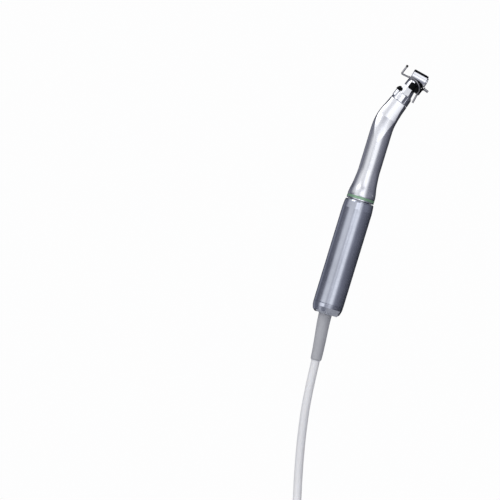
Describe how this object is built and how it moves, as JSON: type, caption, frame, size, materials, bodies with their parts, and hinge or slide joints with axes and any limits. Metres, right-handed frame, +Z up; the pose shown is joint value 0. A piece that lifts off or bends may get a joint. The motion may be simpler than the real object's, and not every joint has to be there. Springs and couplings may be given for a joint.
{
  "type": "dental contra-angle handpiece",
  "caption": "Speed-reducing contra-angle dental handpiece on an electric micromotor, with clip-on irrigation tube, push-button head and silicone cord.",
  "frame": {"origin": "on the motor axis at the middle of the stretch of sleeve that a cabinet holder grips", "axes": "+Z up as it stands in its holder, with the motor axis leaning 17 degrees towards +X; the neck bends further towards +X in the XZ plane"},
  "size_m": [0.1199, 0.0312, 0.4981],
  "materials": {
    "motor_grey": "satin anodised slate grey",
    "satin_steel": "satin stainless steel",
    "mirror_steel": "polished steel",
    "machined_steel": "turned and ground steel",
    "gear_steel": "hardened gear steel, lightly coated",
    "bearing_steel": "ground bearing steel",
    "ratio_green": "green lacquer ring",
    "black_plastic": "moulded black plastic",
    "white_silicone": "matt white silicone",
    "grey_silicone": "matt grey silicone",
    "copper": "enamelled copper wire",
    "lamination": "stacked iron laminations",
    "magnet": "nickel-plated magnet",
    "circuit_green": "lacquered circuit board",
    "gold": "gold-plated contacts",
    "spring_steel": "spring wire",
    "black_rubber": "black rubber seals",
    "strap_grey": "woven hook-and-loop strap",
    "tube_steel": "drawn stainless tube"
  },
  "bodies": {
    "motor_body": {"motor_sleeve": "motor_grey", "motor_nose": "machined_steel", "stator_core": "lamination", "stator_windings": "copper", "motor_bearings": "bearing_steel", "end_bell": "machined_steel", "sensor_board": "circuit_green", "rear_cap": "motor_grey", "strain_relief": "grey_silicone", "cord": "white_silicone", "cord_hank": "white_silicone", "hank_tie": "strap_grey", "plug_shell": "machined_steel", "plug_insert": "black_plastic", "plug_pins": "gold"},
    "plug_nut": {"plug_ring": "machined_steel"},
    "coupling_rings": {"snap_ring": "spring_steel", "spigot_o_rings": "black_rubber"},
    "rotor": {"rotor_shaft": "machined_steel", "rotor_magnet": "magnet", "dog_spring": "spring_steel"},
    "dog": {"drive_dog": "machined_steel"},
    "contra_angle": {"handle_shell": "satin_steel", "coupling_sleeve": "machined_steel", "rear_rim": "mirror_steel", "ratio_ring": "ratio_green", "ring_gear": "gear_steel", "handle_bearings": "bearing_steel", "neck_sleeve": "satin_steel", "slotted_collar": "satin_steel", "neck_bearings": "bearing_steel", "head_housing": "mirror_steel", "head_cap": "mirror_steel", "head_bearings": "bearing_steel", "port_boss": "satin_steel", "port_cap": "black_plastic", "irrigation_clip": "black_plastic", "irrigation_tube": "tube_steel", "tube_tip": "black_plastic", "stub_rod": "tube_steel", "button_spring": "spring_steel"},
    "input": {"input_shaft": "machined_steel", "sun_gear": "gear_steel"},
    "carrier": {"planet_carrier": "machined_steel", "bend_gear_rear": "gear_steel"},
    "planet_1": {"planet_gear_1": "gear_steel"},
    "planet_2": {"planet_gear_2": "gear_steel"},
    "planet_3": {"planet_gear_3": "gear_steel"},
    "neck_drive": {"neck_shaft": "machined_steel", "bend_gear_front": "gear_steel", "head_pinion": "gear_steel"},
    "chuck": {"chuck_spindle": "machined_steel", "head_gear": "gear_steel", "chuck_latch": "spring_steel"},
    "button": {"push_button": "mirror_steel"}
  },
  "joints": [
    {"name": "swivel", "type": "hinge", "parent": "motor_body", "child": "coupling_rings", "pos_m": [0.02076, 0, 0.0679], "axis": [0.2924, 0, 0.9563], "continuous": true},
    {"name": "pull_off", "type": "slide", "parent": "coupling_rings", "child": "contra_angle", "axis": [0.2924, 0, 0.9563], "range_m": [0, 0.04]},
    {"name": "drive", "type": "hinge", "parent": "coupling_rings", "child": "rotor", "pos_m": [0.01111, 0, 0.03634], "axis": [0.2924, 0, 0.9563], "continuous": true},
    {"name": "dog_retract", "type": "slide", "parent": "rotor", "child": "dog", "axis": [-0.2924, 0, -0.9563], "range_m": [0, 0.0015], "stiffness_N_per_m": 120, "springref_m": -0.0005, "deforming": ["dog_spring"]},
    {"name": "input_spin", "type": "hinge", "parent": "contra_angle", "child": "input", "pos_m": [0.02924, 0, 0.09563], "axis": [0.2924, 0, 0.9563], "continuous": true},
    {"name": "carrier_spin", "type": "hinge", "parent": "contra_angle", "child": "carrier", "pos_m": [0.03216, 0, 0.10519], "axis": [0.2924, 0, 0.9563], "continuous": true},
    {"name": "planet_1_spin", "type": "hinge", "parent": "carrier", "child": "planet_1", "pos_m": [0.03414, 0, 0.09936], "axis": [0.2924, 0, 0.9563], "continuous": true},
    {"name": "planet_2_spin", "type": "hinge", "parent": "carrier", "child": "planet_2", "pos_m": [0.02898, 0.00312, 0.10094], "axis": [0.2924, 0, 0.9563], "continuous": true},
    {"name": "planet_3_spin", "type": "hinge", "parent": "carrier", "child": "planet_3", "pos_m": [0.02898, -0.00312, 0.10094], "axis": [0.2924, 0, 0.9563], "continuous": true},
    {"name": "neck_spin", "type": "hinge", "parent": "contra_angle", "child": "neck_drive", "pos_m": [0.04664, 0, 0.13459], "axis": [0.6088, 0, 0.7934], "continuous": true},
    {"name": "chuck_spin", "type": "hinge", "parent": "contra_angle", "child": "chuck", "pos_m": [0.0604, 0, 0.15252], "axis": [-0.8755, 0, 0.4833], "continuous": true},
    {"name": "button_press", "type": "slide", "parent": "contra_angle", "child": "button", "axis": [-0.8755, 0, 0.4833], "range_m": [0, 0.0008], "stiffness_N_per_m": 200, "springref_m": -0.0004, "deforming": ["button_spring"]},
    {"name": "plug_ring_turn", "type": "hinge", "parent": "motor_body", "child": "plug_nut", "pos_m": [-0.024, -0.0095, -0.327], "axis": [0, 0, 1], "continuous": true}
  ],
  "couplings": [
    {"joint": "input_spin", "follows": "drive", "ratio": 1},
    {"joint": "carrier_spin", "follows": "drive", "ratio": 0.2},
    {"joint": "planet_1_spin", "follows": "drive", "ratio": -0.53333},
    {"joint": "planet_2_spin", "follows": "drive", "ratio": -0.53333},
    {"joint": "planet_3_spin", "follows": "drive", "ratio": -0.53333},
    {"joint": "neck_spin", "follows": "drive", "ratio": 0.2},
    {"joint": "chuck_spin", "follows": "drive", "ratio": 0.05}
  ]
}
